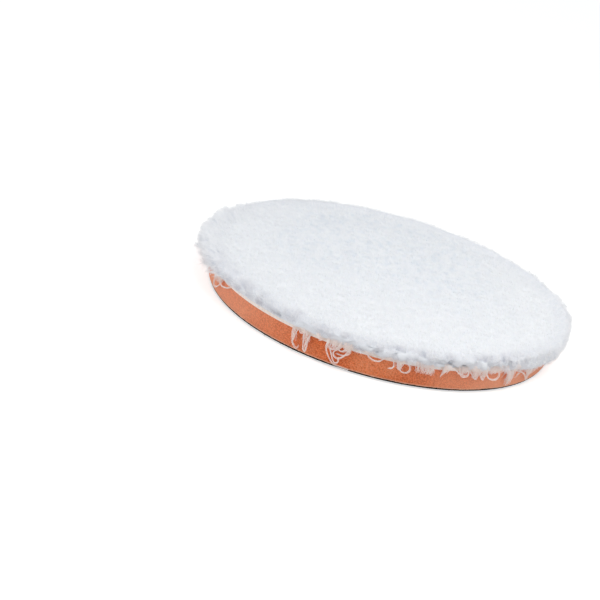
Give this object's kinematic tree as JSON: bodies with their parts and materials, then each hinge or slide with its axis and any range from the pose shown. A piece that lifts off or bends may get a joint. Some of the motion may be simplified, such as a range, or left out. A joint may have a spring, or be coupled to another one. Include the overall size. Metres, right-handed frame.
{
  "type": "polishing pad",
  "caption": "Round polishing pad: a white tufted pile with a splayed rim on an orange foam cushion, with a black loop fabric back that sticks to a hook-faced backing plate.",
  "frame": {"origin": "centre of the loop face, on the plane that meets the backing plate", "axes": "+Z along the pad's axis, from the loop face to the pile; X and Y lie in the loop face"},
  "size_m": [0.1652, 0.1611, 0.0191],
  "materials": {
    "loop_nap": "brushed nylon loops, matt black",
    "loop_cloth": "black warp-knitted ground of the loop fabric",
    "hot_melt": "hot-melt film, cream",
    "foam": "open-cell polyurethane foam, orange",
    "pile_cloth": "woven ground cloth, off-white",
    "pile": "soft tufted fibre, white"
  },
  "bodies": {
    "root": {"loop_nap": "loop_nap", "loop_cloth": "loop_cloth", "back_adhesive": "hot_melt", "foam_cushion": "foam", "face_adhesive": "hot_melt", "pile_cloth": "pile_cloth", "pile": "pile"}
  },
  "joints": []
}
